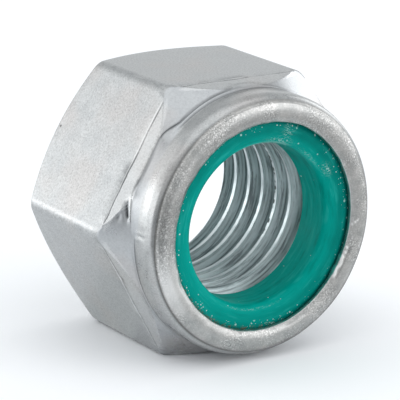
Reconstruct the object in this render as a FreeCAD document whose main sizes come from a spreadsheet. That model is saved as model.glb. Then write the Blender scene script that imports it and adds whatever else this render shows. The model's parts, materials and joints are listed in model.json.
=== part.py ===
"""Hexagon lock nut with a nylon locking ring, lying on one of its flats.

Each piece is drawn standing on its bearing face, with the thread axis up, and is
then laid over so that the collar looks towards -Y and the thread runs along Y.
The origin is on the thread axis, half way between the bearing face and the crown
of the lip.
"""
import FreeCAD, Part
import math
import os
import Sketcher

doc = FreeCAD.newDocument("lock_nut")

# Driving sizes in millimetres and degrees. A drop is measured down from the crown
# of the lip, which is the highest point of the nut when it stands on its bearing face.
SIZES = {
    # Hexagon
    "nut_height": 27.7,
    "across_flats": 36.5,
    "corner_rounding": 1.7,
    "bearing_step": 1.05,
    "bearing_chamfer": 36.5,
    # Conical shoulder, and the sloping end of each flat
    "shoulder_slope": 50.7,
    "foot_drop": 4.65,
    "foot_bevel": 0.21,
    "facet_length": 3.3,
    "facet_slope": 9,
    # Collar, and the lip crimped over the ring
    "collar_step": 0.6,
    "barrel_drop": 2.8,
    "crease_inset": 0.75,
    "crease_drop": 0.35,
    "crown_inset": 1.4,
    "collar_wall": 1.45,
    "lip_cover": 2.2,
    "lip_edge_drop": 0.4,
    "lip_edge_bevel": 0.12,
    "lip_edge_thickness": 0.6,
    "lip_root_thickness": 1.6,
    # Threaded bore, and the pocket for the ring
    "thread_minor_radius": 10.98,
    "countersink_angle": 90,
    "bearing_sink_depth": 2,
    "pocket_sink_depth": 1.7,
    "pocket_drop": 6.9,
    # Nylon ring
    "ring_grip": 0.13,
    "ring_entry": 0.95,
    "ring_face_drop": 1.35,
    "ring_gap": 0.02,
    # How far each cut runs past the bar it is made from
    "cut_allowance": 1,
}

sheet = doc.addObject("Spreadsheet::Sheet", "Sizes")
for row, (alias, size) in enumerate(SIZES.items(), start=1):
    sheet.set(f"A{row}", alias)
    sheet.set(f"B{row}", str(size))
    sheet.setAlias(f"B{row}", alias)
doc.recompute()

# Distances from the thread axis: the collar and the pocket follow from the flats,
# the countersinks and the ring's bore from the thread
FLAT = "(Sizes.across_flats / 2)"
OUTSIDE = f"({FLAT} / cos(30 deg) + Sizes.cut_allowance)"
BEARING = f"({FLAT} - Sizes.bearing_step)"
COLLAR = f"({FLAT} - Sizes.collar_step)"
CREASE = f"({COLLAR} - Sizes.crease_inset)"
CROWN = f"({CREASE} - Sizes.crown_inset)"
POCKET = f"({COLLAR} - Sizes.collar_wall)"
LIP_EDGE = f"({POCKET} - Sizes.lip_cover)"
THREAD = "Sizes.thread_minor_radius"
SINK_SPREAD = "tan(Sizes.countersink_angle * 0.5 deg)"
BEARING_SINK = f"({THREAD} + Sizes.bearing_sink_depth * {SINK_SPREAD})"
POCKET_SINK = f"({THREAD} + Sizes.pocket_sink_depth * {SINK_SPREAD})"
RING_BORE = f"({THREAD} - Sizes.ring_grip)"
RING_OUTSIDE = f"({POCKET} - Sizes.ring_gap)"

# Heights above the bearing face
TOP = "Sizes.nut_height"
ABOVE_TOP = f"({TOP} + Sizes.cut_allowance)"
FOOT_HEIGHT = f"({TOP} - Sizes.foot_drop)"
FACET_HEIGHT = f"({FOOT_HEIGHT} - Sizes.facet_length)"
BARREL_HEIGHT = f"({TOP} - Sizes.barrel_drop)"
CREASE_HEIGHT = f"({TOP} - Sizes.crease_drop)"
LIP_EDGE_HEIGHT = f"({TOP} - Sizes.lip_edge_drop)"
BELOW_LIP_BEVEL = f"({LIP_EDGE_HEIGHT} - Sizes.lip_edge_bevel)"
UNDER_LIP_EDGE = f"({LIP_EDGE_HEIGHT} - Sizes.lip_edge_thickness)"
UNDER_LIP_ROOT = f"({TOP} - Sizes.lip_root_thickness)"
FLOOR_HEIGHT = f"({TOP} - Sizes.pocket_drop)"
RING_FACE = f"({TOP} - Sizes.ring_face_drop)"


def new_body(label):
    """A piece with its own label, laid over onto a flat by a quarter turn about X."""
    body = doc.addObject("PartDesign::Body", label)
    body.Label = label
    quarter_turn = FreeCAD.Rotation(FreeCAD.Vector(1, 0, 0), 90)
    body.Placement = FreeCAD.Placement(FreeCAD.Vector(0, 0, 0), quarter_turn)
    body.setExpression(".Placement.Base.y", f"{TOP} / 2")
    return body


def new_sketch(body, name, plane_role):
    """A sketch on one of the body's own origin planes."""
    sketch = body.newObject("Sketcher::SketchObject", name)
    plane = next(p for p in body.Origin.OriginFeatures if p.Role == plane_role)
    sketch.AttachmentSupport = [(plane, "")]
    sketch.MapMode = "FlatFace"
    return sketch


def measure(expression):
    """The present value of an expression, as a plain number."""
    value = sheet.evalExpression(expression)
    return float(getattr(value, "Value", value))


def bind(sketch, kind, *geometry, size):
    """Add a constraint whose size is driven by an expression."""
    index = sketch.addConstraint(Sketcher.Constraint(kind, *geometry, measure(size)))
    sketch.setExpression(f"Constraints[{index}]", size)


def arc_between(start, finish, radius):
    """The shorter arc from one point to the other that turns counter-clockwise."""
    chord = finish - start
    outward = FreeCAD.Vector(chord.y, -chord.x, 0).normalize()
    rise = radius - math.sqrt(radius**2 - (chord.Length / 2) ** 2)
    return Part.Arc(start, (start + finish) * 0.5 + outward * rise, finish)


def outline(sketch, corners, arcs=None):
    """Draw a closed outline whose corners are placed by (across, up) expressions.

    arcs gives the radius of each numbered side that is an arc; the rest are straight.
    """
    arcs = arcs or {}
    points = [FreeCAD.Vector(measure(across), measure(up), 0) for across, up in corners]
    sides = []
    for number, start in enumerate(points):
        finish = points[(number + 1) % len(points)]
        if number in arcs:
            side = arc_between(start, finish, measure(arcs[number]))
        else:
            side = Part.LineSegment(start, finish)
        sides.append(sketch.addGeometry(side))
    for number, side in enumerate(sides):
        following = sides[(number + 1) % len(sides)]
        sketch.addConstraint(Sketcher.Constraint("Coincident", side, 2, following, 1))
        across, up = corners[number]
        bind(sketch, "DistanceX", side, 1, size=across)
        bind(sketch, "DistanceY", side, 1, size=up)
        if number in arcs:
            bind(sketch, "Radius", side, size=arcs[number])
    doc.recompute()


def turn(body, kind, name, corners, arcs=None):
    """Revolve an outline a full turn about the thread axis, adding or cutting."""
    sketch = new_sketch(body, f"{name}_outline", "XZ_Plane")
    outline(sketch, corners, arcs)
    feature = body.newObject(kind, name)
    feature.Profile = sketch
    feature.ReferenceAxis = (sketch, ["V_Axis"])
    feature.Angle = 360
    body.Tip = feature
    doc.recompute()


def tangent_arc_radius(along, away):
    """Radius of an arc that starts along one direction and ends this far along and away."""
    return f"(({along})^2 + ({away})^2) / (2 * ({away}))"


# Hexagon bar: six equal sides on one circle, one of them level
nut = new_body("nut_body")
hexagon = new_sketch(nut, "hexagon", "XY_Plane")
upright = FreeCAD.Vector(0, 0, 1)
corner = FreeCAD.Vector(measure(f"{FLAT} / cos(30 deg)"), 0, 0)
corners = [FreeCAD.Rotation(upright, 60 * number).multVec(corner) for number in range(6)]
sides = [
    hexagon.addGeometry(Part.LineSegment(corners[number], corners[(number + 1) % 6]))
    for number in range(6)
]
corner_circle = hexagon.addGeometry(
    Part.Circle(FreeCAD.Vector(0, 0, 0), upright, corner.Length), True
)
hexagon.addConstraint(Sketcher.Constraint("Coincident", corner_circle, 3, -1, 1))
for number, side in enumerate(sides):
    following = sides[(number + 1) % 6]
    hexagon.addConstraint(Sketcher.Constraint("Coincident", side, 2, following, 1))
    hexagon.addConstraint(Sketcher.Constraint("PointOnObject", side, 1, corner_circle))
    if number:
        hexagon.addConstraint(Sketcher.Constraint("Equal", sides[0], side))
level_side = sides[1]
hexagon.addConstraint(Sketcher.Constraint("Horizontal", level_side))
bind(hexagon, "Distance", -1, 1, level_side, size=FLAT)

bar = nut.newObject("PartDesign::Pad", "hexagon_bar")
bar.Profile = hexagon
bar.setExpression("Length", ABOVE_TOP)
doc.recompute()

# The six long edges of the bar are softened by the forging
long_edges = [
    f"Edge{number}"
    for number, edge in enumerate(bar.Shape.Edges, start=1)
    if edge.tangentAt(edge.FirstParameter).cross(upright).Length < 0.5
]
soft_corners = nut.newObject("PartDesign::Fillet", "soft_corners")
soft_corners.Base = (bar, long_edges)
soft_corners.setExpression("Radius", "Sizes.corner_rounding")
nut.Tip = soft_corners
doc.recompute()

# Each flat ends towards the collar in a short facet that leans in to the collar's foot
facet_outline = new_sketch(nut, "facet_outline", "YZ_Plane")
outline(
    facet_outline,
    [
        (FLAT, FACET_HEIGHT),
        (f"{FLAT} + Sizes.cut_allowance", FACET_HEIGHT),
        (f"{FLAT} + Sizes.cut_allowance", FOOT_HEIGHT),
        (f"{FLAT} - Sizes.facet_length * tan(Sizes.facet_slope * 1 deg)", FOOT_HEIGHT),
    ],
)
facet = nut.newObject("PartDesign::Pocket", "facet")
facet.Profile = facet_outline
facet.Type = "ThroughAll"
facet.Midplane = True
nut.Tip = facet
doc.recompute()
facets = nut.newObject("PartDesign::PolarPattern", "facets")
facets.Originals = [facet]
facets.Axis = (facet_outline, ["V_Axis"])
facets.Angle = 360
facets.Occurrences = 6
nut.Tip = facets
doc.recompute()

# Chamfer round the bearing face
turn(
    nut,
    "PartDesign::Groove",
    "bearing_chamfer",
    [
        (BEARING, "0"),
        (OUTSIDE, "0"),
        (OUTSIDE, f"({OUTSIDE} - {BEARING}) * tan(Sizes.bearing_chamfer * 1 deg)"),
    ],
)

# Conical shoulder, barrel shaped collar and the convex crown of the lip. The bevel at
# the collar's foot reaches as far down the cone as it does up the collar.
slope = "(Sizes.shoulder_slope * 1 deg)"
turn(
    nut,
    "PartDesign::Groove",
    "collar",
    [
        (OUTSIDE, f"{FOOT_HEIGHT} - ({OUTSIDE} - {COLLAR}) * tan{slope}"),
        (
            f"{COLLAR} + Sizes.foot_bevel * cos{slope}",
            f"{FOOT_HEIGHT} - Sizes.foot_bevel * sin{slope}",
        ),
        (COLLAR, f"{FOOT_HEIGHT} + Sizes.foot_bevel"),
        (COLLAR, BARREL_HEIGHT),
        (CREASE, CREASE_HEIGHT),
        (CROWN, TOP),
        (LIP_EDGE, LIP_EDGE_HEIGHT),
        (LIP_EDGE, ABOVE_TOP),
        (OUTSIDE, ABOVE_TOP),
    ],
    {
        3: tangent_arc_radius(f"{CREASE_HEIGHT} - {BARREL_HEIGHT}", "Sizes.crease_inset"),
        4: tangent_arc_radius("Sizes.crown_inset", "Sizes.crease_drop"),
        5: tangent_arc_radius(f"{CROWN} - {LIP_EDGE}", "Sizes.lip_edge_drop"),
    },
)

# Bore with a countersink at both ends, and the pocket undercut beneath the lip,
# whose inner edge is broken by a bevel of 45 degrees
turn(
    nut,
    "PartDesign::Groove",
    "bore_and_pocket",
    [
        ("0", "0"),
        (BEARING_SINK, "0"),
        (THREAD, "Sizes.bearing_sink_depth"),
        (THREAD, f"{FLOOR_HEIGHT} - Sizes.pocket_sink_depth"),
        (POCKET_SINK, FLOOR_HEIGHT),
        (POCKET, FLOOR_HEIGHT),
        (POCKET, UNDER_LIP_ROOT),
        (LIP_EDGE, UNDER_LIP_EDGE),
        (LIP_EDGE, BELOW_LIP_BEVEL),
        (f"{LIP_EDGE} + {ABOVE_TOP} - {BELOW_LIP_BEVEL}", ABOVE_TOP),
        ("0", ABOVE_TOP),
    ],
)

# Nylon ring: it stands on the pocket's floor, and its shoulder lies under the lip. Its
# bore opens in two bevels that follow a quarter round.
entry_middle = "Sizes.ring_entry * (1 - cos(45 deg))"
ring = new_body("locking_insert")
turn(
    ring,
    "PartDesign::Revolution",
    "ring",
    [
        (RING_BORE, FLOOR_HEIGHT),
        (RING_OUTSIDE, FLOOR_HEIGHT),
        (RING_OUTSIDE, f"{UNDER_LIP_ROOT} - Sizes.ring_gap"),
        (LIP_EDGE, f"{UNDER_LIP_EDGE} - Sizes.ring_gap"),
        (f"{RING_BORE} + Sizes.ring_entry", RING_FACE),
        (f"{RING_BORE} + {entry_middle}", f"{RING_FACE} - {entry_middle}"),
        (RING_BORE, f"{RING_FACE} - Sizes.ring_entry"),
    ],
)

for item in doc.Objects:
    if "Invalid" in item.State or "Error" in item.State:
        raise RuntimeError(f"{item.Label} is not built: {item.State}")

os.makedirs("parts", exist_ok=True)
for body in (nut, ring):
    shape = body.Shape
    if shape.isNull() or not shape.isValid() or len(shape.Solids) != 1:
        raise RuntimeError(f"{body.Label} is not one valid solid")
    shape.exportStep(f"parts/{body.Label}.step")
    print(body.Label, round(shape.Volume, 1), "mm3")
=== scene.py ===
import json
import math

import bpy
import numpy as np
from mathutils import Matrix, Vector


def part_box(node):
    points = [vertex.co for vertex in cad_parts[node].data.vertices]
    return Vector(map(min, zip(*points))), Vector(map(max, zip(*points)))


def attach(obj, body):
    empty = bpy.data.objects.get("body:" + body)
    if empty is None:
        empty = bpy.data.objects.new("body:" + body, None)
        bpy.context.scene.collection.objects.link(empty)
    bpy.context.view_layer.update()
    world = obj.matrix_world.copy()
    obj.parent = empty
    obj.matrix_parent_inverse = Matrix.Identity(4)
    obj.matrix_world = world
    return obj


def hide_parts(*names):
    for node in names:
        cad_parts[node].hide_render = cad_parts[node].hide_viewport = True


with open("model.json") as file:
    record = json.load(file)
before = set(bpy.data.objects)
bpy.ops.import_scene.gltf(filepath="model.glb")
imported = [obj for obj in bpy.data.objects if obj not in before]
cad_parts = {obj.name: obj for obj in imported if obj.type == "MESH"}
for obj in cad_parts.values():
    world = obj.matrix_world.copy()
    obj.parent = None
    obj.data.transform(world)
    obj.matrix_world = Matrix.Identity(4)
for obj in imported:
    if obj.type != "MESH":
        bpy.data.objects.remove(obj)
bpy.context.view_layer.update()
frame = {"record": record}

MM = 0.001
# Grid points nearer to each other than this are one place
WELD = 0.00001

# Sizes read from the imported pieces
nut_low, nut_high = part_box("nut_body")
ring_low, ring_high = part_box("locking_insert")
HALF_HEIGHT = nut_high.y / MM
NUT_HEIGHT = 2 * HALF_HEIGHT
FLAT = nut_high.z / MM
CORNER_REACH = nut_high.x / MM
POCKET_FLOOR = HALF_HEIGHT - ring_high.y / MM
RING_TOP = HALF_HEIGHT - ring_low.y / MM
RING_OUTSIDE = ring_high.x / MM
MOUNTS = {mount["name"]: mount["dims"] for mount in frame["record"]["mounts"]}
THREAD_MINOR = MOUNTS["thread"]["r_mm"]
RING_BORE = MOUNTS["locking_bore"]["r_mm"]

# Hexagon, shoulder and bearing face
SECTOR = math.radians(60)
HALF_SECTOR = SECTOR / 2
CORNER_ROUND = (FLAT / math.cos(HALF_SECTOR) - CORNER_REACH) / (1 / math.cos(HALF_SECTOR) - 1)
BEARING_RADIUS = FLAT - 1.05
BEARING_RISE = math.tan(math.radians(36.5))
COLLAR = FLAT - 0.6
FOOT_HEIGHT = NUT_HEIGHT - 4.65
SHOULDER_RUN = 1 / math.tan(math.radians(50.7))
FACET_HEIGHT = FOOT_HEIGHT - 3.3
FACET_LEAN = math.tan(math.radians(9))
FLARE_HEIGHT = FOOT_HEIGHT - 0.9

# Collar and crimped lip
BAND_RISE = 0.25
SWELL_HEIGHT = NUT_HEIGHT - 2.0
ROLL = COLLAR - 0.3
ROLL_HEIGHT = NUT_HEIGHT - 1.15
CREASE = COLLAR - 0.75
CREASE_HEIGHT = NUT_HEIGHT - 0.8
CREASE_BITE = 0.2
LIP_SIDE = CREASE - 0.16
LIP_SIDE_RISE = 0.42
LIP_OUTER_CROWN = CREASE - 0.95
LIP_EDGE = 14.0
LIP_INNER_CROWN = LIP_EDGE + 0.75
LIP_EDGE_HEIGHT = NUT_HEIGHT - 0.5
LIP_EDGE_THICKNESS = 0.6
LIP_ROOT_THICKNESS = 1.6
POCKET = COLLAR - 1.45

# Height of the ring's face at the bore's mouth, and where it falls away under the lip
RING_FACE = RING_TOP - 0.33
RING_FALL = RING_TOP - 0.95

# A small nick near the rear edge of the upper left flat
NICK = Vector((-15.46, 12.36, 9.72))

# Marks on the left of the shoulder: drop below the collar's foot, angle in degrees at which
# they have that drop, and millimetres that they climb in one degree
PIT_DROP, PIT_ANGLE, PIT_SLOPE = 1.15, 167.5, 0.06
SLIVER_DROP, SLIVER_ANGLE, SLIVER_SLOPE = 0.77, 166, 0.035
SCAR_DROP = 1.8

# Dents across the collar's left: angle in degrees, width and strength; and their raised sides
DENTS = ((177.6, 0.9, 1.0), (175.2, 0.8, 0.7))
RAISED_SIDES = ((178.9, 0.7, 1.0), (176.4, 0.7, 1.0), (174.3, 0.7, 0.7))

# Stretches of the lip with painted light (+) and painted shade (-): angle in degrees, width and
# strength
LIP_PAINTED_LIGHT = ((-160, 14, 0.55), (168, 12, -0.3), (-44, 10, -0.22), (-100, 16, -0.08))

# Scuffs on the ring: angle in degrees, width, distance out from the bore, width and strength
SCUFFS = (
    (73, 3, 1.9, 0.8, 1.0),
    (77, 9, 0.55, 0.35, 1.0),
    (49, 8, 0.35, 0.2, 0.8),
    (31, 3.5, 1.2, 0.5, 1.2),
)

# The torn burr inside the lip, in degrees: from where to where its ridge runs, and its
# loose flakes
TORN_FROM, TORN_TO = -37, -24
TORN_FLAKES = (-22.2, -19.4)

# Thread: right-hand, eight turns to the inch. The shares are of the pitch, from a crest's
# middle to its edge and to the root's edge
PITCH = 25.4 / 8
THREAD_DEPTH = 0.541 * PITCH
CREST_SHARE = 0.11
ROOT_SHARE = 7 / 16
CREST_HEIGHT = 17.61
REAR_SINK = THREAD_MINOR + 2
FRONT_SINK = THREAD_MINOR + 1.7

# Rows of one turn of the thread, as shares of the pitch from one crest to the next:
# close at the crest's edges and at the root, wider on the straight flanks
HALF_TURN = np.array([0, 0.05, 0.09, 0.108, 0.125, 0.15, 0.2, 0.28, 0.37, 0.43])
TURN_ROWS = np.concatenate([HALF_TURN, [0.5], 1 - HALF_TURN[:0:-1]])
ROWS_PER_TURN = len(TURN_ROWS)

# Fine dark lines along the flank, painted shade: share of the pitch past a crest, and depth
THREAD_SHADE_LINES = ((0.15, 0.35), (0.23, 0.42), (0.31, 0.65))

# Layers of dust on the nylon: size of a cell, share of the cells without a speck where the
# nylon is clean, and the layer's shift in metres
DUST_LAYERS = ((0.75, 0.985, 0.0), (0.45, 0.975, 0.3), (0.32, 0.99, 0.7))


def bell(x, middle, width):
    """A bump of height 1: exp(-((x - middle) / width)^2)."""
    return np.exp(-(((x - middle) / width) ** 2))


def bells(x, bumps):
    """A sum of bells, each given as its middle, width and height."""
    return sum(height * bell(x, middle, width) for middle, width, height in bumps)


def rise(x, middle, edge):
    """0 below middle and 1 above it, with a soft step of the given width."""
    share = np.clip((x - middle) / edge + 0.5, 0, 1)
    return share * share * (3 - 2 * share)


def window(x, low, high, edge):
    """1 between low and high and 0 outside, with soft ends of the given width."""
    return rise(x, low, edge) * rise(-x, -high, edge)


def arc(degrees, start, end, edge):
    """A window over angles that are counted from 0 to 360 degrees."""
    return window(np.mod(degrees, 360), start, end, edge)


def soft_step(x):
    """0 below 0, 1 above 1 and straight between, with its two bends eased."""
    ease = 0.02
    return (np.sqrt(x**2 + ease**2) - np.sqrt((x - 1) ** 2 + ease**2) + 1) / 2


def waves(angle, counts, seed):
    """A smooth unevenness around the axis: a sum of cosines, about 1 high.

    Each count is how many times its cosine repeats in one turn.
    """
    draw = np.random.default_rng(seed)
    phases = draw.uniform(0, 2 * np.pi, len(counts))
    total = sum(np.cos(count * angle + phase) for count, phase in zip(counts, phases))
    return total / math.sqrt(len(counts))


def patchy(angle, counts, seed, level, swing, low, high):
    """A strength that waves make come and go around the axis, held between low and high."""
    return np.clip(level + swing * waves(angle, counts, seed), low, high)


def bezier(start, control, end, count):
    """Rows of a quadratic curve: (1-t)^2 start + 2t(1-t) control + t^2 end."""
    t = np.linspace(0, 1, count)[:, None]
    return [
        (1 - t) ** 2 * a + 2 * t * (1 - t) * b + t**2 * c
        for a, b, c in zip(start, control, end)
    ]


def rounded_path(corners, columns):
    """Rows of (across, up) points along a run of straight lines with rounded corners.

    Each corner is (across, up, reach, bend rows, run rows): its rounding starts and ends
    at most reach from the corner, and run rows follow it on the way to the next corner.
    Where two reaches come near to the length of the line between them, both shrink in
    proportion, so that their roundings never touch.
    Returns across and up with one row per point and one column per angle, and for each
    corner the row at which its rounding starts.
    """
    across, up, reach = (
        np.array([np.broadcast_to(corner[part], columns) for corner in corners], float)
        for part in range(3)
    )
    step_across, step_up = np.diff(across, axis=0), np.diff(up, axis=0)
    length = np.hypot(step_across, step_up) + 1e-9
    share = np.minimum(1, 0.95 * length / (reach[:-1] + reach[1:] + 1e-9))
    first_share = np.vstack([share[:1], share])
    last_share = np.vstack([share, share[-1:]])
    reach = reach * np.minimum(first_share, last_share)
    unit_across, unit_up = step_across / length, step_up / length

    rows_across, rows_up, starts = [], [], []
    count = 0
    for k, (_, _, _, bend_rows, run_rows) in enumerate(corners):
        before, after = max(k - 1, 0), min(k, len(corners) - 2)
        into = (across[k] - unit_across[before] * reach[k], up[k] - unit_up[before] * reach[k])
        out = (across[k] + unit_across[after] * reach[k], up[k] + unit_up[after] * reach[k])
        starts.append(count)
        if bend_rows > 1:
            a, u = bezier(into, (across[k], up[k]), out, bend_rows)
        else:
            a, u = across[k][None], up[k][None]
        rows_across.append(a)
        rows_up.append(u)
        count += len(a)
        if k < len(corners) - 1 and run_rows:
            next_across = across[k + 1] - unit_across[after] * reach[k + 1]
            next_up = up[k + 1] - unit_up[after] * reach[k + 1]
            t = np.linspace(0, 1, run_rows + 2)[1:-1, None]
            rows_across.append(a[-1] + t * (next_across - a[-1]))
            rows_up.append(u[-1] + t * (next_up - u[-1]))
            count += run_rows
    return np.vstack(rows_across), np.vstack(rows_up), starts


def push(across, up, height):
    """Move an outline outwards, square to itself, by a height in millimetres."""
    step_across, step_up = np.gradient(across, axis=0), np.gradient(up, axis=0)
    length = np.hypot(step_across, step_up) + 1e-6
    return across + height * step_up / length, up - height * step_across / length


def place(angle, across, up):
    """Points in metres from angle about the axis, distance from it and height."""
    x = across * np.cos(angle)
    z = across * np.sin(angle)
    y = HALF_HEIGHT - up
    return np.stack([x, y, z], axis=-1) * MM


def path_length(across, up):
    """Distance travelled along an outline to each of its points."""
    steps = np.hypot(np.diff(across), np.diff(up))
    return np.concatenate([[0], np.cumsum(steps)])


def grid_faces(rows, columns):
    """Corner rows and columns of every face of a grid."""
    row, column = np.meshgrid(np.arange(rows - 1), np.arange(columns), indexing="ij")
    row, column = row.ravel(), column.ravel()
    return (
        np.stack([row, row, row + 1, row + 1], axis=1),
        np.stack([column, column + 1, column + 1, column], axis=1),
    )


def surface(name, points, ids, uv, faces, slots, materials, attributes):
    """A smooth mesh from grid points; faces name their corners by row and column.

    Grid points that lie at one place, as where a facet has no width, become one vertex,
    which has the lowest of their values in each attribute. Faces whose corners have run
    together lose them, and become triangles or vanish.
    """
    face_rows, face_columns = faces
    used, corners = np.unique(ids[face_rows, face_columns], return_inverse=True)
    places = points.reshape(-1, 3)[used]
    cells = np.round(places / (WELD * MM)).astype(np.int64)
    _, first, vertex = np.unique(cells, axis=0, return_index=True, return_inverse=True)
    vertex = vertex.ravel()
    corners = vertex[corners.reshape(face_rows.shape)]
    doubled = corners == np.roll(corners, -1, axis=1)
    corners_left = 4 - doubled.sum(axis=1)
    whole = corners_left >= 3
    corners_left = corners_left[whole]
    kept = ~doubled & whole[:, None]
    loop_vertices = corners[kept]
    loop_starts = np.cumsum(corners_left) - corners_left

    mesh = bpy.data.meshes.new(name)
    mesh.vertices.add(len(first))
    mesh.vertices.foreach_set("co", places[first].ravel())
    mesh.loops.add(len(loop_vertices))
    mesh.loops.foreach_set("vertex_index", loop_vertices.astype(np.int32))
    mesh.polygons.add(len(loop_starts))
    mesh.polygons.foreach_set("loop_start", loop_starts.astype(np.int32))
    mesh.polygons.foreach_set("material_index", slots[whole].astype(np.int32))
    mesh.polygons.foreach_set("use_smooth", np.ones(len(loop_starts), bool))
    layer = mesh.uv_layers.new(name="along_and_around")
    layer.data.foreach_set("uv", uv[face_rows, face_columns][kept].ravel())
    for label, values in attributes.items():
        lowest = np.full(len(first), np.inf)
        np.minimum.at(lowest, vertex, values.ravel()[used])
        layer = mesh.attributes.new(label, "FLOAT", "POINT")
        layer.data.foreach_set("value", lowest.astype(np.float32))
    mesh.update(calc_edges=True)
    mesh.validate()
    for material in materials:
        mesh.materials.append(material)
    piece = bpy.data.objects.new(name, mesh)
    bpy.context.collection.objects.link(piece)
    return piece


def column_angles():
    """Angles of the mesh's columns, from -180 to 180 degrees, closest round the corners."""
    corner_steps = np.linspace(0, 2.4, 5)[:-1]
    edge_steps = np.array([2.4, 2.7, 3.2, 3.74, 4.4])
    flat_steps = np.linspace(5.2, 30, 20)
    half = np.concatenate([corner_steps, edge_steps, flat_steps])
    one_side = np.concatenate([half, 60 - half[::-1][1:]])[:-1]
    angles = np.concatenate([one_side + 60 * number for number in range(-3, 3)])
    return np.radians(angles)


def hexagon_reach(angle):
    """Distance from the axis to the side of the hexagon bar.

    Away from the corners it is the flat's distance over the cosine of the angle from the
    flat's middle; a corner is a circle of CORNER_ROUND that touches both flats. Also
    returns that cosine.
    """
    from_flat = np.mod(angle, SECTOR) - HALF_SECTOR
    from_corner = HALF_SECTOR - np.abs(from_flat)
    centre = (FLAT - CORNER_ROUND) / math.cos(HALF_SECTOR)
    touch = math.atan2((FLAT - CORNER_ROUND) * math.tan(HALF_SECTOR), FLAT)
    inside = np.maximum(CORNER_ROUND**2 - (centre * np.sin(from_corner)) ** 2, 0)
    rounded = centre * np.cos(from_corner) + np.sqrt(inside)
    straight = FLAT / np.cos(from_flat)
    return np.where(np.abs(from_flat) < touch, straight, rounded), np.cos(from_flat)


def facet_reach(up, lean):
    """Distance to the facet that leans in above a flat; lean is hexagon_reach's cosine."""
    return (FLAT - (up - FACET_HEIGHT) * FACET_LEAN) / lean


def cone_height(reach):
    """Height of the shoulder's cone at a distance from the axis."""
    return FOOT_HEIGHT - (reach - COLLAR) / SHOULDER_RUN


def band_reach(degrees):
    """Distance from the axis to the foot of the collar, where the turning tool stopped.

    The collar was turned a little off centre, so an unturned band is left as a crescent at
    the top and upper left. Further down on the left its side flares gently outwards, and
    meets the facet and the cone at FLARE_HEIGHT, so the flare's foot is as far out as they
    are there. Also returns how soft the flare makes the collar's foot, from 0 to 1.
    """
    around = np.mod(degrees, 360)
    band = window(around, 74, 134, 16) * (0.25 + 0.15 * bell(around, 108, 16))
    lean = np.cos(np.radians(around - 150))
    facet_edge = facet_reach(FLARE_HEIGHT, lean) - COLLAR
    cone_edge = (FOOT_HEIGHT - FLARE_HEIGHT) * SHOULDER_RUN
    flare = np.minimum(facet_edge, cone_edge) * rise(around, 128, 16) * rise(-around, -172, 24)
    return COLLAR + np.maximum(band, flare), window(around, 131, 180, 12)


def crimp_bite(degrees):
    """How hard the crimping tool bit: 1 on the left, and softly down to 0 on the right."""
    return arc(degrees, 135, 250, 60)


def nut_outline(angle):
    """The nut's outside and pocket, from the bearing face's inner edge round to the thread.

    A facet ends where it meets the shoulder's cone or, in the middle of a flat, the band at
    the collar's foot. Round a corner of the hexagon there is no facet. The crease is deeper
    on the left, where the crimping tool bit harder.
    """
    degrees = np.degrees(angle)
    side, lean = hexagon_reach(angle)
    band, flare = band_reach(degrees)
    shoulder_height = cone_height(side)
    has_facet = shoulder_height > FACET_HEIGHT
    facet_start = np.minimum(FACET_HEIGHT, shoulder_height)
    on_cone = lean * (COLLAR + FOOT_HEIGHT * SHOULDER_RUN) - FLAT - FACET_HEIGHT * FACET_LEAN
    on_cone = on_cone / (lean * SHOULDER_RUN - FACET_LEAN)
    on_band = FACET_HEIGHT + (FLAT - band * lean) / FACET_LEAN
    facet_end = np.where(has_facet, np.minimum(on_cone, on_band), facet_start)
    facet_end = np.maximum(np.minimum(facet_end, FOOT_HEIGHT - 0.1), facet_start)
    cone_end = COLLAR + (FOOT_HEIGHT - facet_end) * SHOULDER_RUN
    end_reach = np.where(has_facet, np.minimum(cone_end, facet_reach(facet_end, lean)), side)
    end_reach = np.maximum(end_reach, band)

    band_height = cone_height(band)
    band_height = np.where(on_band < band_height, np.maximum(facet_end, on_band), band_height)
    band_top = np.maximum(FOOT_HEIGHT - 0.02, band_height + 0.03)
    foot_top = FOOT_HEIGHT + BAND_RISE + 0.65 * flare
    band_top = band_top + flare * ((band_height + foot_top) / 2 - band_top)
    band_top_reach = band + flare * (COLLAR - band) / 2
    crease_height = CREASE_HEIGHT + 0.04 - CREASE_BITE * crimp_bite(degrees)

    # Name, across, up, reach of the rounding, rows of the rounding, rows of the run after it
    corners = [
        ("bearing", REAR_SINK, 0, 0.15, 3, 2),
        ("chamfer", BEARING_RADIUS, 0, 0.2, 4, 2),
        ("flat", side, (side - BEARING_RADIUS) * BEARING_RISE, 0.35, 5, 11),
        ("facet", side, facet_start, 0.35, 13, 3),
        ("shoulder", end_reach, facet_end, 0.22, 5, 12),
        ("band", band, band_height, 0.1, 4, 1),
        ("band_top", band_top_reach, band_top, 0.1 + 0.3 * flare, 5, 1),
        ("barrel", COLLAR, foot_top, 0.2 + 0.6 * flare, 6, 2),
        ("swell", COLLAR, SWELL_HEIGHT, 0.8, 8, 1),
        ("roll", ROLL, ROLL_HEIGHT, 0.55, 7, 0),
        ("crease", CREASE, crease_height, 0.22, 6, 0),
        ("lip_side", LIP_SIDE, crease_height + LIP_SIDE_RISE, 0.3, 5, 0),
        ("lip_outer_crown", LIP_OUTER_CROWN, NUT_HEIGHT - 0.01, 0.75, 8, 0),
        ("lip_inner_crown", LIP_INNER_CROWN, NUT_HEIGHT, 0.8, 9, 0),
        ("lip_edge", LIP_EDGE, LIP_EDGE_HEIGHT, 0.2, 5, 1),
        ("lip_under", LIP_EDGE, LIP_EDGE_HEIGHT - LIP_EDGE_THICKNESS, 0.1, 3, 1),
        ("pocket", POCKET, NUT_HEIGHT - LIP_ROOT_THICKNESS, 0.1, 2, 1),
        ("floor", POCKET, POCKET_FLOOR, 0.1, 2, 1),
        ("end", FRONT_SINK, POCKET_FLOOR, 0, 1, 0),
    ]
    across, up, starts = rounded_path([corner[1:] for corner in corners], len(angle))
    regions = {corner[0]: row for corner, row in zip(corners, starts)}
    return across, up, regions


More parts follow.
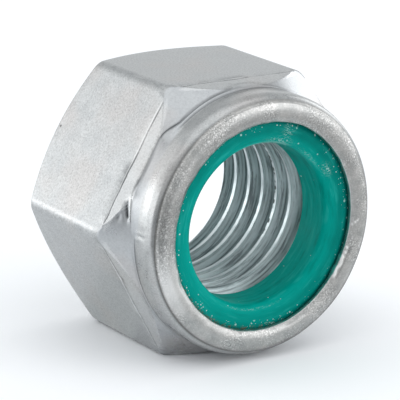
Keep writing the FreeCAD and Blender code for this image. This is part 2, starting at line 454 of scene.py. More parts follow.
def thread_rows(angle):
    """The threaded bore, from the pocket's floor down to the bearing face.

    A row keeps its place on the thread, so it climbs one pitch in each turn about the
    axis; where it would leave the bore it stays on the bore's end circle. The radius is
    the larger of the thread's and of the cone of the countersink at either end.
    Returns across, up, the height that each point climbs to, each row's height at angle 0,
    and the painted highlights and painted shade along the thread, with its torn second crest.
    """
    turns = int(math.ceil(POCKET_FLOOR / PITCH)) + 2
    places = np.concatenate([TURN_ROWS + number for number in range(turns)])
    along = CREST_HEIGHT + PITCH * (2 - places)
    lead = PITCH * angle / (2 * np.pi)
    climb = along[:, None] + lead
    up = np.clip(climb, 0, POCKET_FLOOR)
    turn = np.mod((up - CREST_HEIGHT) / PITCH - angle / (2 * np.pi), 1)
    from_crest = np.minimum(turn, 1 - turn)
    # Past the middle of the last groove the thread runs out, and no crest follows
    turns_past = (climb - lead - CREST_HEIGHT) / PITCH
    running = turns_past < 0.5
    from_crest = np.where(running, from_crest, 0.5)
    depth = soft_step((from_crest - CREST_SHARE) / (ROOT_SHARE - CREST_SHARE))
    thread = THREAD_MINOR + THREAD_DEPTH * depth
    across = np.maximum.reduce([thread, REAR_SINK - up, FRONT_SINK - POCKET_FLOOR + up])
    across = np.where(climb >= POCKET_FLOOR, FRONT_SINK, across)
    across = np.where(climb <= 0, REAR_SINK, across)
    return across, up, climb, along, thread_wear_and_painted_light(angle, turns_past, from_crest) * running


def thread_wear_and_painted_light(angle, turns_past, from_crest):
    """Painted highlights on the crests (+), and painted shadow lines behind each crest and painted
    shade in the roots (-).

    The crests' painted highlight is weakest at the lower left, where the flanks get painted light.
    The second crest from the front has a torn, dotted edge along the right side.
    """
    degrees = np.degrees(angle)
    past_crest = turns_past - np.round(turns_past)
    shine = 0.15 + 0.85 * window(degrees, -62, 150, 50)
    shine = shine * patchy(angle, [5, 9, 16, 27, 45], 6, 0.8, 0.35, 0.2, 1.2)
    wide = 0.01 * shine + 0.06 * window(degrees, -78, 20, 50)
    # A painted highlight along each crest
    crest = 0.85 * window(past_crest, -0.085, -0.01 + 1.5 * wide, 0.04) * shine
    # A painted shadow line just behind each crest
    line = bell(past_crest, -0.108, 0.018)
    line = line * patchy(angle, [6, 13, 22, 37, 58], 12, 0.7, 0.5, 0.1, 1.3)
    # Painted shade in each root
    root = 0.6 * bell(from_crest, 0.5, 0.06)
    # Painted light on the flanks at the lower left
    low_left = 0.28 * arc(degrees, 190, 290, 50)
    dots = window(degrees, -32, 50, 14) * patchy(angle, [31, 47, 73, 101], 15, 0.2, 1.0, 0, 1.5)
    second_crest = bell(turns_past, -1.06, 0.045)
    return crest + low_left - 0.9 * (line + root) - 2.6 * dots * second_crest


class Skin:
    """The grid of the steel's outside, with the relief that its marks leave and what they paint.

    Relief is in millimetres, outwards. The painted value is -1 where dirt and painted shade lie
    in grooves, creases and hollows, and +1 on edges worn bright and on painted highlights and
    painted light. Each mark is a bump across its line times a window along it, and waves make
    lines that run all round come and go.
    """

    def __init__(self, angle, across, up):
        self.angle, self.across, self.up = angle, across, up
        self.degrees = np.degrees(angle)
        self.below_foot = FOOT_HEIGHT - up
        self.outside = up < FOOT_HEIGHT + BAND_RISE
        self.on_lip = (up > NUT_HEIGHT - 0.9) & (across < CREASE + 0.05)
        self.relief = np.zeros(across.shape)
        self.wear_and_painted_light = np.zeros(across.shape)

    def mark(self, shape, relief=0.0, wear_and_painted_light=0.0):
        """Add a mark: its shape over the grid, times how high it stands and how it shines."""
        self.relief = self.relief + relief * shape
        self.wear_and_painted_light = self.wear_and_painted_light + wear_and_painted_light * shape


def mark_facet_edges(skin):
    """The pressed facets' lower edges: a raised burr beside fine grooves darkened with painted
    shade, and a facet worn bright.

    The lines are strongest on the left and ragged at the lower left. At the upper left the
    burr is wide and almost flat.
    """
    degrees, across, up = skin.degrees, skin.across, skin.up
    from_flat = np.mod(degrees, 60) - 30
    upper_left = window(degrees, 120, 150, 12)
    lower_left = arc(degrees, 196, 238, 12)
    strength = patchy(skin.angle, [7, 11, 17, 26, 41], 3, 0.55, 0.5, 0.1, 1.2)
    strength = strength + (0.9 - strength) * 0.6 * (window(degrees, 122, 178, 8) + lower_left)
    reach = window(from_flat, -25.4, 25.4, 1.5) * skin.outside * strength
    ragged = window(degrees, 152, 182, 12) + lower_left
    edge = FACET_HEIGHT - 0.06 + 0.1 * waves(skin.angle, [5, 9, 14], 8)
    edge = edge + 0.05 * ragged * waves(skin.angle, [23, 37, 51, 67], 14)
    wide = 1 + 0.6 * lower_left + 0.9 * upper_left
    burr = bell(up, edge - 0.06, 0.08 * wide)
    groove = bell(up, edge + 0.1 * wide, 0.07 * wide)
    second_groove = 0.5 * (1 - upper_left) * bell(up, edge - 0.22 * wide, 0.06)
    skin.mark(burr * reach, 0.09 - 0.07 * upper_left, 0.9 + 0.25 * lower_left + 0.6 * upper_left)
    # The grooves are also darkened in colour: painted shade
    skin.mark((groove + second_groove) * reach, 0.04 * upper_left - 0.09, 0.5 * lower_left - 1.2)
    facet = (across * np.cos(np.radians(from_flat)) > FLAT - 0.42) & (across > COLLAR + 0.2)
    pressed = window(up, edge + 0.2, FOOT_HEIGHT - 0.75, 0.2) * facet * skin.outside
    skin.mark(pressed, wear_and_painted_light=0.42)


def mark_shoulder_lap(skin):
    """The lap folded into the left of the shoulder, with a bright sliver beside the collar."""
    degrees, below = skin.degrees, skin.below_foot
    on_cone = skin.outside & (below < 2.75)
    pit = bell(below, PIT_DROP - PIT_SLOPE * (degrees - PIT_ANGLE), 0.13)
    sliver = bell(below, SLIVER_DROP - SLIVER_SLOPE * (degrees - SLIVER_ANGLE), 0.11)
    scar = bell(below, SCAR_DROP, 0.22)
    skin.mark(pit * window(degrees, 165, 172, 2) * on_cone, -0.42, -1.3)
    skin.mark(sliver * window(degrees, 156, 173.5, 4) * on_cone, 0.10, 0.9)
    skin.mark(scar * window(degrees, 170.5, 173.5, 2) * on_cone, -0.12, -0.7)


def mark_collar(skin):
    """Two shallow dents with raised sides across the collar, and painted shade on a rim at the right.
    """
    degrees, across, up = skin.degrees, skin.across, skin.up
    on_barrel = (up > FOOT_HEIGHT + BAND_RISE) & (up < CREASE_HEIGHT) & (across > CREASE)
    skin.mark(bells(degrees, DENTS) * bell(up, NUT_HEIGHT - 3.1, 1.1) * on_barrel, relief=-0.07)
    skin.mark(bells(degrees, RAISED_SIDES) * bell(up, NUT_HEIGHT - 3.5, 1.2) * on_barrel, wear_and_painted_light=0.5)
    right_rim = window(across, CREASE - 0.55, CREASE + 0.8, 0.3) * (up > NUT_HEIGHT - 3.3)
    # Painted shade: the rim at the right is darkened in colour
    skin.mark(window(degrees, -85, 30, 20) * right_rim, wear_and_painted_light=-0.5)


def mark_lip(skin):
    """The lip's uneven crown and inner edge, a scratch, and stretches of painted light and painted
    shade.
    """
    degrees, across, up = skin.degrees, skin.across, skin.up
    crown = window(across, LIP_EDGE + 0.2, CREASE, 0.4) * skin.on_lip
    skin.mark(crown * (1 + waves(skin.angle, [2, 4, 7, 11], 9)), relief=-0.02)
    inner = window(across, LIP_EDGE - 0.5, LIP_EDGE + 0.5, 0.4) * (up > NUT_HEIGHT - 1.2)
    skin.mark(inner * waves(skin.angle, [3, 5, 8, 13, 21, 34], 4), relief=0.04)
    scratch = bell(degrees - 3 * (across - LIP_EDGE - 0.6), -5.3, 0.5) * skin.on_lip
    skin.mark(scratch * window(across, LIP_EDGE + 0.2, LIP_EDGE + 1.1, 0.3), wear_and_painted_light=1.1)
    # Painted light and painted shade on stretches of the lip's crown
    skin.mark(crown * bells(degrees, LIP_PAINTED_LIGHT), wear_and_painted_light=1.0)


def mark_torn_burr(skin):
    """A torn burr inside the lip at the lower right, with a hollow behind it darkened by painted
    shade.
    """
    degrees, across, up = skin.degrees, skin.across, skin.up
    ragged_edge = LIP_EDGE + 0.2 + 0.08 * waves(skin.angle, [29, 43, 59], 2)
    ridge = window(degrees, TORN_FROM, TORN_TO, 2) * bell(across, ragged_edge, 0.16)
    flakes = sum(bell(degrees, middle, 0.8) for middle in TORN_FLAKES)
    flakes = flakes * bell(across, LIP_EDGE + 0.3, 0.15)
    skin.mark((ridge + flakes) * (up > NUT_HEIGHT - 1.15), 0.14, 1.6)
    behind = window(degrees, TORN_FROM, TORN_FLAKES[-1], 2) * bell(across, LIP_EDGE + 0.62, 0.14)
    # The hollow is also darkened in colour: painted shade
    skin.mark(behind * skin.on_lip, -0.08, -0.5)


def mark_painted_shade_and_rim(skin):
    """Painted shade in the crease, most on the left, at the collar's foot and along the facets'
    feet, and a thin bright rim inside the lip.
    """
    degrees, across, up, below = skin.degrees, skin.across, skin.up, skin.below_foot
    bite = crimp_bite(degrees)
    band, flare = band_reach(degrees)
    crease = bell(up, CREASE_HEIGHT - 0.14 * bite, 0.2) * bell(across, CREASE, 0.22)
    foot = bell(up, FOOT_HEIGHT + BAND_RISE - 0.05, 0.12) * bell(across, COLLAR + 0.05, 0.2)
    band_foot = bell(across - band, 0.05, 0.1) * window(below, 0.1, 2.05, 0.2)
    facet_foot = bell(across - band, 0.0, 0.05) * window(below, 0.35, 2.75, 0.2)
    rim = bell(across, LIP_EDGE + 0.02, 0.08) * (up > NUT_HEIGHT - 0.9)
    # Painted shade: the crease, the collar's foot and the facets' feet are darkened in colour
    skin.mark(crease, wear_and_painted_light=-0.45 - 0.45 * bite)
    skin.mark(foot * (1 - flare), wear_and_painted_light=-0.8)
    skin.mark(band_foot * (1 - flare) * skin.outside, wear_and_painted_light=-0.55)
    skin.mark(facet_foot * window(degrees, 124, 160, 6) * skin.outside, wear_and_painted_light=-1.1)
    skin.mark(rim, wear_and_painted_light=0.4)


def build_nut(materials):
    """The steel body: outside, collar, lip, pocket and threaded bore as one surface."""
    angle = column_angles()
    columns = len(angle)
    across, up, regions = nut_outline(angle)
    skin = Skin(angle, across, up)
    for add_marks in (
        mark_facet_edges, mark_shoulder_lap, mark_collar, mark_lip, mark_torn_burr, mark_painted_shade_and_rim
    ):
        add_marks(skin)
    across, up = push(across, up, skin.relief)
    up = np.clip(up, 0, NUT_HEIGHT)
    thread_across, thread_up, climb, along, thread_painted_light_and_wear = thread_rows(angle)
    outside_rows = len(across)
    points = place(angle, np.vstack([across, thread_across]), np.vstack([up, thread_up]))
    rows = len(points)

    # One number per grid point. Thread rows that rest on an end circle are that circle, and
    # at the seam a row of the thread joins the row one turn up
    ids = np.arange(rows * columns).reshape(rows, columns)
    thread_ids = ids[outside_rows:]
    for rests, circle in ((climb >= POCKET_FLOOR, ids[outside_rows - 1]), (climb <= 0, ids[0])):
        thread_ids[rests] = np.broadcast_to(circle, climb.shape)[rests]
    one_turn_up = np.maximum(np.arange(outside_rows, rows) - ROWS_PER_TURN, outside_rows - 1)
    joined = np.concatenate([np.arange(outside_rows), one_turn_up])
    ids = np.hstack([ids, ids[joined, :1]])

    turns = np.concatenate([angle / (2 * np.pi), [0.5]])
    lengthwise = np.concatenate([path_length(across.mean(axis=1), up.mean(axis=1)), along])
    uv = np.stack(np.broadcast_arrays(turns, lengthwise[:, None]), axis=-1)

    # Each finish starts at a row of the grid and ends where the next one starts
    faces = grid_faces(rows, columns)
    names = list(materials)
    finish = np.zeros(rows, int)
    for name, start in (
        ("turned", 0),
        ("flats", regions["chamfer"] + 2),
        ("shoulder", regions["shoulder"] + 2),
        ("barrel", regions["barrel"] + 2),
        ("lip", regions["crease"] + 1),
        ("turned", regions["lip_under"]),
        ("thread", outside_rows - 1),
    ):
        finish[start:] = names.index(name)
    piece = surface(
        "lock_nut_steel", points, ids, uv, faces, finish[faces[0][:, 0]],
        list(materials.values()), {"wear_and_painted_light": np.vstack([skin.wear_and_painted_light, thread_painted_light_and_wear])},
    )
    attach(piece, "root")
    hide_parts("nut_body")


def ring_marks(angle, across, up):
    """How much dust, dirt, scuffing, painted light and painted highlight each place on the ring has.

    Dust lies beside the steel and dirt at its lower left. The scuffs are where a bolt's end
    met the ring: some at the top and two on the right. A thin arc at the bore's mouth is a
    painted highlight. The nylon is painted lighter towards the lower left, a painted light,
    and is paler along the top of the bore.
    """
    degrees = np.degrees(angle)
    out_from_bore = across - RING_BORE
    near_face = up > RING_FACE - 0.8
    mouth = up > RING_FACE - 1.6
    beside_steel = window(across, LIP_EDGE - 0.8, LIP_EDGE + 0.6, 0.8) * near_face
    at_steel = window(across, LIP_EDGE - 0.4, LIP_EDGE + 0.6, 0.4) * near_face
    low_left = arc(degrees, 190, 275, 40)
    clumps = patchy(angle, [4, 7, 12, 19, 31], 21, 0.75, 0.4, 0.2, 1.3)
    scuffs = sum(
        strength * bell(degrees, middle, wide) * bell(out_from_bore, out, deep)
        for middle, wide, out, deep, strength in SCUFFS
    )
    # A painted highlight: a thin light arc at the bore's mouth
    thin_arc = 0.5 * arc(degrees, 246, 284, 14) * bell(out_from_bore, 0.55, 0.09)
    # Painted light: the nylon is lighter towards the lower left
    painted_light_lower_left = (0.5 - 0.5 * np.cos(np.radians(degrees - 30))) ** 1.5
    return {
        "dust": beside_steel * clumps * (1 + 0.9 * low_left),
        "dirt": at_steel * low_left,
        "scuffs_and_painted_highlight": (scuffs + thin_arc) * mouth,
        "painted_light_lower_left": np.broadcast_to(painted_light_lower_left, across.shape),
        "edge": window(degrees, 68, 120, 14) * bell(out_from_bore, 0.2, 0.15) * mouth,
    }


def build_ring(material):
    """The nylon ring: a closed turned section with a rounded bore mouth and a sloping face.

    Waves give its face the slight unevenness of a pressed part. The section runs the other
    way round than the steel's outline, so its faces are turned to point outwards.
    """
    angle = np.linspace(-np.pi, np.pi, 360, endpoint=False)
    columns = len(angle)
    # Across, up, reach of the rounding, rows of the rounding, rows of the run after it
    corners = [
        (RING_BORE, POCKET_FLOOR, 0.15, 4, 6),
        (RING_BORE, RING_FACE - 0.06, 1.25, 14, 3),
        (LIP_EDGE - 0.5, RING_TOP - 0.1, 0.5, 6, 1),
        (LIP_EDGE + 0.12, RING_TOP - 0.42, 0.15, 4, 2),
        (RING_OUTSIDE - 0.02, RING_FALL, 0.1, 3, 3),
        (RING_OUTSIDE, POCKET_FLOOR, 0.15, 4, 4),
        (RING_BORE, POCKET_FLOOR, 0.15, 1, 0),
    ]
    across, up, _ = rounded_path(corners, columns)
    across, up = across[:-1], up[:-1]
    rows = len(across)
    on_face = np.clip((up - (RING_FACE - 0.6)) / 0.3, 0, 1) * (across < LIP_EDGE)
    up = up - on_face * (0.02 + 0.012 * waves(angle, [2, 3, 5, 9], 5))
    ids = np.arange(rows * columns).reshape(rows, columns)
    ids = np.hstack([ids, ids[:, :1]])
    ids = np.vstack([ids, ids[:1]])
    turns = np.linspace(-0.5, 0.5, columns + 1)
    lengthwise = path_length(across[:, 0], up[:, 0])
    lengthwise = np.append(lengthwise, lengthwise[-1] + RING_OUTSIDE - RING_BORE)
    uv = np.stack(np.broadcast_arrays(turns, lengthwise[:, None]), axis=-1)
    faces = [corner[:, ::-1] for corner in grid_faces(rows + 1, columns)]
    piece = surface(
        "lock_nut_ring", place(angle, across, up), ids, uv, faces,
        np.zeros(len(faces[0]), int), [material], ring_marks(angle, across, up),
    )
    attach(piece, "root")
    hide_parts("locking_insert")


class Looks:
    """A material and short words for its nodes. Colours are linear red, green, blue, alpha."""

    def __init__(self, name):
        self.material = bpy.data.materials.new(name)
        self.material.use_nodes = True
        self.tree = self.material.node_tree
        self.shader = self.tree.nodes["Principled BSDF"]
        self.coordinates = self.tree.nodes.new("ShaderNodeTexCoord")

    def fill(self, socket, value):
        """Link another node's output to a socket, or give the socket a value of its own."""
        if isinstance(value, bpy.types.NodeSocket):
            self.tree.links.new(value, socket)
        else:
            socket.default_value = value

    def node(self, kind, *inputs, **settings):
        """A node with its settings; an input is (socket, value or another node's output)."""
        made = self.tree.nodes.new(kind)
        for key, value in settings.items():
            setattr(made, key, value)
        for socket, value in inputs:
            self.fill(made.inputs[socket], value)
        return made

    def shade(self, **sockets):
        """Give the shader's own sockets their values or links."""
        for name, value in sockets.items():
            self.fill(self.shader.inputs[name.replace("_", " ")], value)

    def math(self, operation, first, second=0.0, third=0.0):
        """One step of arithmetic."""
        made = self.node("ShaderNodeMath", (0, first), (1, second), (2, third), operation=operation)
        return made.outputs[0]

    def times(self, first, second):
        """The product of two values."""
        return self.math("MULTIPLY", first, second)

    def spread(self, value, low, high, to_low=0.0, to_high=1.0):
        """The value's stretch from low to high, mapped to another one and held there."""
        made = self.node(
            "ShaderNodeMapRange", ("Value", value), ("From Min", low), ("From Max", high),
            ("To Min", to_low), ("To Max", to_high),
        )
        return made.outputs[0]

    def attribute(self, name):
        """One of the piece's own attributes."""
        made = self.node("ShaderNodeAttribute", attribute_name=name, attribute_type="GEOMETRY")
        return made.outputs["Fac"]

    def texture(self, vector, scale, detail, roughness):
        """Blender's noise, between 0 and 1."""
        made = self.node(
            "ShaderNodeTexNoise", ("Vector", vector), ("Scale", scale), ("Detail", detail),
            ("Roughness", roughness),
        )
        return made.outputs["Fac"]

    def noise(self, size, detail=2.0, roughness=0.5, stretch=(1, 1, 1), turn=(0, 0, 0)):
        """Soft random values between 0 and 1, with features about size millimetres long."""
        scaled = self.node(
            "ShaderNodeMapping", ("Vector", self.coordinates.outputs["Object"]),
            ("Rotation", turn), ("Scale", stretch),
        )
        return self.texture(scaled.outputs[0], 1 / (size * MM), detail, roughness)

    def turned_lines(self, around_scale, along_scale, detail, roughness):
        """A noise on a cylinder, slow around the axis and quick across the turned lines.

        Also returns the distance along the outline, from the piece's UV map.
        """
        split = self.node("ShaderNodeSeparateXYZ", ("Vector", self.coordinates.outputs["UV"]))
        around, along = self.times(split.outputs[0], 2 * math.pi), split.outputs[1]
        sweep = self.node(
            "ShaderNodeCombineXYZ",
            (0, self.times(self.math("COSINE", around), around_scale)),
            (1, self.times(self.math("SINE", around), around_scale)),
            (2, self.times(along, along_scale)),
        )
        return self.texture(sweep.outputs[0], 1.0, detail, roughness), along

    def blend(self, share, first, second):
        """A colour between two others."""
        # A colour mix has its own two inputs and output, after those for numbers and vectors
        made = self.node("ShaderNodeMix", (0, share), (6, first), (7, second), data_type="RGBA")
        return made.outputs[2]

    def cover(self, colour, *coats):
        """Lay coats over a colour, one after another; a coat is (share, colour)."""
        for share, tint in coats:
            colour = self.blend(share, colour, tint)
        return colour

    def bump(self, height, depth, normal=None):
        """Relief of the given depth in millimetres."""
        inputs = [("Height", height), ("Distance", depth * MM)]
        if normal is not None:
            inputs.append(("Normal", normal))
        return self.node("ShaderNodeBump", *inputs).outputs[0]


def metal(looks, colour, rough, bumps, dirt=(0.10, 0.105, 0.11, 1), bright=(0.72, 0.73, 0.73, 1)):
    """Metal, darker for dirt and painted shade and brighter for worn edges and painted light, as its
    attribute says.
    """
    wear_and_painted_light = looks.attribute("wear_and_painted_light")
    # The darker mix carries dirt and painted shade, the brighter one worn edges, painted highlights
    # and painted light
    dirt_and_painted_shade = looks.spread(looks.times(wear_and_painted_light, -1.0), 0.02, 1.0, 0.0, 0.9)
    rubbed_and_painted_light = looks.spread(wear_and_painted_light, 0.05, 1.0, 0.0, 0.85)
    rough = looks.math("MULTIPLY_ADD", dirt_and_painted_shade, 0.2, rough)
    looks.shade(
        Metallic=1.0, Base_Color=looks.cover(colour, (dirt_and_painted_shade, dirt), (rubbed_and_painted_light, bright)),
        Roughness=looks.math("MULTIPLY_ADD", rubbed_and_painted_light, -0.08, rough), Normal=bumps,
    )


def zinc_plate(name, pale, dull, rough, mottle_size, grain_size, speck=0.2, relief=0.01):
    """Bright zinc plate: two tones in soft patches, dark specks, a fine grain, gentle waves.

    Rough is the roughness of the dull patches and of the pale ones.
    """
    looks = Looks(name)
    mottle = looks.noise(mottle_size, 4, 0.6)
    tint = looks.noise(8.0, turn=(0.4, 0.2, 0.9))
    grain = looks.noise(grain_size, 3, 0.65)
    colour = looks.cover(
        looks.blend(looks.spread(mottle, 0.36, 0.64), dull, pale),
        (looks.spread(tint, 0.48, 0.66, 0.0, 0.45), (0.485, 0.455, 0.44, 1)),
        (looks.spread(grain, 0.34, 0.50, speck, 0.0), (0.25, 0.25, 0.25, 1)),
        (looks.spread(grain, 0.54, 0.68, 0.0, speck), (0.60, 0.61, 0.61, 1)),
    )
    bumps = looks.bump(looks.noise(5.0), 0.06, looks.bump(grain, relief))
    metal(looks, colour, looks.spread(mottle, 0.3, 0.7, *rough), bumps)
    return looks


def zinc_flats():
    """Plated flats, as forged, with a small dark nick near the rear edge of the upper left one."""
    looks = zinc_plate(
        "zinc_flats", pale=(0.475, 0.487, 0.49, 1), dull=(0.415, 0.428, 0.435, 1),
        rough=(0.34, 0.42), mottle_size=2.6, grain_size=0.24, speck=0.55, relief=0.015,
    )
    away = looks.node(
        "ShaderNodeVectorMath", (0, looks.coordinates.outputs["Object"]), (1, NICK * MM),
        operation="DISTANCE",
    ).outputs["Value"]
    nick = looks.spread(away, 0.10 * MM, 0.24 * MM, 0.85, 0.0)
    plate = looks.shader.inputs["Base Color"].links[0].from_socket
    looks.shade(Base_Color=looks.blend(nick, plate, (0.05, 0.05, 0.05, 1)))
    return looks.material


def zinc_shoulder():
    """The pressed shoulder and its facets, smoother than the flats."""
    return zinc_plate(
        "zinc_shoulder", pale=(0.47, 0.487, 0.50, 1), dull=(0.42, 0.436, 0.45, 1),
        rough=(0.26, 0.34), mottle_size=2.2, grain_size=0.25,
    ).material


def zinc_barrel():
    """The collar's side, with a stronger grain than the shoulder."""
    return zinc_plate(
        "zinc_barrel", pale=(0.475, 0.485, 0.485, 1), dull=(0.40, 0.412, 0.415, 1),
        rough=(0.25, 0.36), mottle_size=2.0, grain_size=0.22, speck=0.4, relief=0.02,
    ).material


def zinc_turned():
    """The bearing face and the ring's pocket, as turned."""
    return zinc_plate(
        "zinc_turned", pale=(0.475, 0.485, 0.49, 1), dull=(0.415, 0.425, 0.43, 1),
        rough=(0.3, 0.4), mottle_size=3.0, grain_size=0.25,
    ).material


def zinc_lip():
    """The crimped lip: matt, pitted and sparkling in patches where the tool upset the plate."""
    looks = Looks("zinc_lip")
    grain = looks.noise(0.5, 3, 0.65)
    fine = looks.noise(0.2, 2, 0.6)
    cloud = looks.noise(1.6, 3, 0.6)
    patch = looks.spread(looks.noise(4.5, turn=(0.2, 0.7, 0.1)), 0.46, 0.60, 0.25, 1.0)
    dull, pale = (0.37, 0.375, 0.37, 1), (0.49, 0.485, 0.475, 1)
    pits = looks.times(looks.spread(fine, 0.34, 0.5, 0.5, 0.0), patch)
    glints = looks.times(looks.spread(fine, 0.54, 0.68, 0.0, 0.8), patch)
    colour = looks.cover(
        looks.blend(looks.spread(cloud, 0.35, 0.65), dull, pale),
        (pits, (0.17, 0.17, 0.165, 1)),
        (glints, (0.84, 0.84, 0.83, 1)),
    )
    bumps = looks.bump(looks.times(grain, patch), 0.05)
    bumps = looks.bump(looks.times(fine, patch), 0.03, bumps)
    metal(
        looks, colour, looks.spread(grain, 0.3, 0.7, 0.33, 0.43), bumps,
        dirt=(0.12, 0.12, 0.115, 1), bright=(0.92, 0.92, 0.91, 1),
    )
    return looks.material


def zinc_thread():
    """The tapped thread: painted highlights on the crests, dull flanks tinted blue-green as a
    painted reflection of the green ring, and fine lines along the helix, some of them painted shade.
    """
    looks = Looks("zinc_thread")
    lines, along = looks.turned_lines(1.4, 3.4, 4.0, 0.8)
    cloud = looks.noise(2.2, 3, 0.6)
    # The blue-green tint of these colours, and of the darker and brighter ones below, is a painted
    # reflection of the green ring
    dull, pale = (0.39, 0.465, 0.48, 1), (0.58, 0.665, 0.68, 1)
    colour = looks.cover(
        looks.blend(looks.spread(lines, 0.35, 0.65), dull, pale),
        (looks.spread(lines, 0.38, 0.46, 0.85, 0.0), (0.17, 0.20, 0.21, 1)),
        (looks.spread(cloud, 0.4, 0.7, 0.0, 0.2), (0.28, 0.33, 0.34, 1)),
    )
    turn = looks.math("FRACT", looks.math("MULTIPLY_ADD", along, 1 / PITCH, -CREST_HEIGHT / PITCH))
    for number, (past_crest, depth) in enumerate(THREAD_SHADE_LINES):
        away = looks.math("ABSOLUTE", looks.math("SUBTRACT", turn, past_crest))
        # Each line darkens the flank's colour: painted shade
        shade_line = looks.spread(away, 0.008, 0.026, depth, 0.0)
        patches = looks.spread(looks.noise(6.0, turn=(0.5 * number, 0.3, 0.0)), 0.38, 0.54)
        colour = looks.blend(looks.times(shade_line, patches), colour, (0.07, 0.085, 0.09, 1))
    bumps = looks.bump(looks.noise(0.25, 2, 0.6), 0.008, looks.bump(lines, 0.03))
    metal(
        looks, colour, looks.spread(lines, 0.3, 0.7, 0.40, 0.50), bumps,
        dirt=(0.05, 0.06, 0.06, 1), bright=(0.62, 0.68, 0.69, 1),
    )
    return looks.material


def dust_layer(looks, dust, size, empty, shift):
    """A field of cells, of which more hold a speck where dust is high.

    A cell's own random colour gives its speck's size, its tone and whether it shows.
    Returns how much of the speck covers the nylon, and the speck's colour.
    """
    moved = looks.node(
        "ShaderNodeMapping", ("Vector", looks.coordinates.outputs["Object"]),
        ("Location", (shift, 0, 0)),
    )
    cells = looks.node(
        "ShaderNodeTexVoronoi", ("Vector", moved.outputs[0]), ("Scale", 1 / (size * MM))
    )
    parts = looks.node("ShaderNodeSeparateColor", ("Color", cells.outputs["Color"]))
    width = looks.math("MULTIPLY_ADD", parts.outputs[2], 0.17, 0.11)
    inside = looks.math("SUBTRACT", width, cells.outputs["Distance"])
    speck = looks.spread(inside, 0.0, 0.06, 0.0, 0.9)
    limit = looks.math("MULTIPLY_ADD", dust, -0.5, empty)
    shown = looks.math("GREATER_THAN", parts.outputs[0], limit)
    tone = looks.blend(parts.outputs[1], (0.20, 0.48, 0.43, 1), (0.74, 0.80, 0.78, 1))
    return looks.times(speck, shown), tone


def green_nylon():
    """Green nylon: smooth, faintly streaked round the bore, with white dust near the steel."""
    looks = Looks("green_nylon")
    cloud = looks.noise(2.5, 3, 0.6)
    streaks, along = looks.turned_lines(2.2, 1.3, 3.0, 0.6)
    deep, fresh = (0.0, 0.165, 0.138, 1), (0.0, 0.2, 0.168, 1)
    dust = looks.attribute("dust")
    streaked = looks.spread(along, 5.2, 8.6, 0.4, 0.12)
    scrape = looks.noise(0.35, 4, 0.75, stretch=(1, 1, 2.2), turn=(0.3, 0.5, 0.2))
    scraped_and_painted_highlight = looks.times(looks.spread(scrape, 0.50, 0.62), looks.attribute("scuffs_and_painted_highlight"))
    dirt = looks.spread(looks.attribute("dirt"), 0.1, 0.9, 0.0, 0.8)
    crumbs = looks.spread(looks.noise(0.4, 3, 0.7), 0.48, 0.6)
    colour = looks.cover(
        looks.blend(looks.spread(cloud, 0.3, 0.7), deep, fresh),
        # Painted light: lighter nylon towards the lower left
        (looks.attribute("painted_light_lower_left"), (0.0, 0.262, 0.22, 1)),
        # Painted light: the bore and its rounded mouth are coloured lighter than the face, against
        # the shade inside the bore
        (looks.spread(along, 5.2, 7.0, 0.9, 0.0), (0.0, 0.335, 0.282, 1)),
        (looks.times(looks.spread(streaks, 0.54, 0.66), streaked), (0.03, 0.44, 0.385, 1)),
        (looks.times(looks.spread(streaks, 0.46, 0.36), streaked), (0.0, 0.15, 0.125, 1)),
        *(dust_layer(looks, dust, *layer) for layer in DUST_LAYERS),
        # Pale scuffs, and the painted highlight of the thin arc at the bore's mouth
        (looks.spread(scraped_and_painted_highlight, 0.0, 0.8, 0.0, 0.75), (0.40, 0.60, 0.56, 1)),
        (looks.times(crumbs, dirt), (0.17, 0.125, 0.075, 1)),
        (looks.spread(looks.attribute("edge"), 0.1, 0.9, 0.0, 0.7), (0.22, 0.44, 0.40, 1)),
    )
    bumps = looks.bump(streaks, 0.04, looks.bump(looks.noise(1.2), 0.03))
    looks.shade(
        Base_Color=colour, Roughness=looks.spread(cloud, 0.3, 0.7, 0.30, 0.42), Normal=bumps,
        Specular_IOR_Level=0.03, Subsurface_Weight=0.1, Subsurface_Scale=0.0006,
        Subsurface_Radius=(0.2, 1.0, 0.9),
    )
    return looks.material


def stage_sheet(name, low, high, lift, looks):
    """A flat sheet lifted a little from the plane that the nut lies on; all in metres."""
    z = nut_low.z + lift
    mesh = bpy.data.meshes.new(name)
    corners = [(low[0], low[1], z), (high[0], low[1], z), (high[0], high[1], z), (low[0], high[1], z)]
    mesh.from_pydata(corners, [], [(0, 1, 2, 3)])
    mesh.materials.append(looks.material)
    sheet = bpy.data.objects.new(name, mesh)
    bpy.context.collection.objects.link(sheet)
    return sheet


def floor():
    """A pale floor under the flat that the nut lies on."""
    half = 2.0
    looks = Looks("pale_floor")
    looks.shade(Base_Color=(0.945, 0.96, 0.98, 1), Roughness=0.9, Specular_IOR_Level=0.1)
    stage_sheet("floor", (-half, -half), (half, half), 0.0, looks)


def card(name, low, high, grey, glow=0.0):
    """A flat card on the floor that only reflections see: a dark one paints shade into the steel's
    reflections, and a glowing one, though no lamp, paints light into them.
    """
    looks = Looks(name)
    looks.shade(
        Base_Color=(grey, grey, grey, 1), Roughness=1.0, Specular_IOR_Level=0.0,
        Emission_Color=(0.92, 0.98, 1.0, 1), Emission_Strength=glow,
    )
    sheet = stage_sheet(name, low, high, 0.0005, looks)
    sheet.visible_camera = False
    sheet.visible_diffuse = False
    sheet.visible_shadow = False
    sheet.visible_transmission = False


def softbox(name, direction, distance, size, radiance):
    """A rectangular lamp that faces the nut; its power grows with its area."""
    lamp = bpy.data.lights.new(name, "AREA")
    lamp.shape = "RECTANGLE"
    lamp.size, lamp.size_y = size
    lamp.energy = radiance * 4 * size[0] * size[1]
    box = bpy.data.objects.new(name, lamp)
    bpy.context.collection.objects.link(box)
    box.location = Vector(direction).normalized() * distance
    box.rotation_euler = (-box.location).to_track_quat("-Z", "Y").to_euler()
    box.visible_camera = False


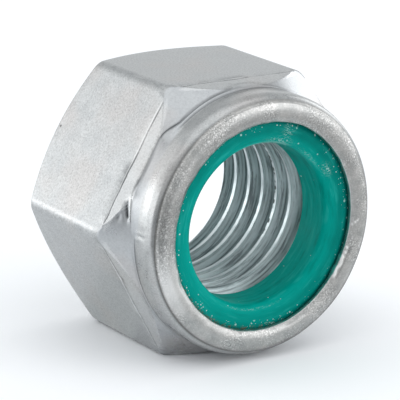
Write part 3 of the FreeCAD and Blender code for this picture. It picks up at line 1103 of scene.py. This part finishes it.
def lighting():
    """Soft white surroundings, with softboxes, and cards that paint shade and light into the steel's
    reflections.
    """
    world = bpy.data.worlds.new("studio")
    world.use_nodes = True
    background = world.node_tree.nodes["Background"]
    background.inputs["Color"].default_value = (0.96, 0.985, 1.0, 1)
    background.inputs["Strength"].default_value = 0.78
    bpy.context.scene.world = world
    # Name, direction from the nut, distance, width and height in metres, brightness
    for box in (
        ("behind", (0.55, 0.79, 0.25), 0.6, (0.34, 0.24), 0.22),
        ("left_behind", (-0.63, 0.68, 0.38), 0.6, (0.50, 0.46), 0.43),
        ("left_low", (-0.57, 0.78, 0.08), 0.40, (0.24, 0.135), 1.55),
        ("left", (-0.95, 0.20, 0.12), 0.6, (0.40, 0.26), 1.1),
        ("overhead", (-0.15, -0.10, 0.98), 0.6, (0.80, 0.70), 0.46),
        ("front_right", (0.575, -0.72, 0.34), 0.6, (0.42, 0.33), 1.58),
        ("right", (0.92, 0.19, 0.34), 0.6, (0.30, 0.26), 1.35),
        ("right_low", (0.95, -0.25, 0.06), 0.40, (0.22, 0.08), 1.3),
    ):
        softbox(*box)
    # Cards seen only in reflections: dark ones paint shade and glowing ones paint light into the
    # steel's reflections
    card("left_front_card", (-0.22, -0.24), (-0.025, -0.05), grey=0.06)
    card("right_front_card", (0.0, -0.24), (0.22, -0.03), grey=0.64)
    card("left_rear_card", (-0.45, 0.06), (-0.06, 0.45), grey=0.88, glow=0.46)
    card("left_near_card", (-0.05, 0.001), (-0.002, 0.014), grey=0.3, glow=0.5)


def camera():
    """The photograph's viewpoint, with its slight roll."""
    azimuth, elevation, roll = math.radians(-34.77), math.radians(16.27), math.radians(1.46)
    distance = 344.2
    target = Vector((-0.73, 0.60, 0.26))
    back = Vector((
        math.sin(azimuth) * math.cos(elevation),
        -math.cos(azimuth) * math.cos(elevation),
        math.sin(elevation),
    ))
    right = Vector((0, 0, 1)).cross(back).normalized()
    upward = back.cross(right)
    turn = Matrix.Rotation(roll, 3, back)
    rotation = Matrix((turn @ right, turn @ upward, back)).transposed()
    view = bpy.data.cameras.new("camera")
    view.lens = 231.3
    view.sensor_width = 36
    view.clip_start = 0.01
    viewer = bpy.data.objects.new("camera", view)
    bpy.context.collection.objects.link(viewer)
    viewer.matrix_world = Matrix.Translation((target + back * distance) * MM) @ rotation.to_4x4()
    bpy.context.scene.camera = viewer


build_nut({
    "flats": zinc_flats(),
    "shoulder": zinc_shoulder(),
    "barrel": zinc_barrel(),
    "lip": zinc_lip(),
    "turned": zinc_turned(),
    "thread": zinc_thread(),
})
build_ring(green_nylon())
floor()
lighting()
camera()
bpy.context.scene.view_settings.view_transform = "Standard"
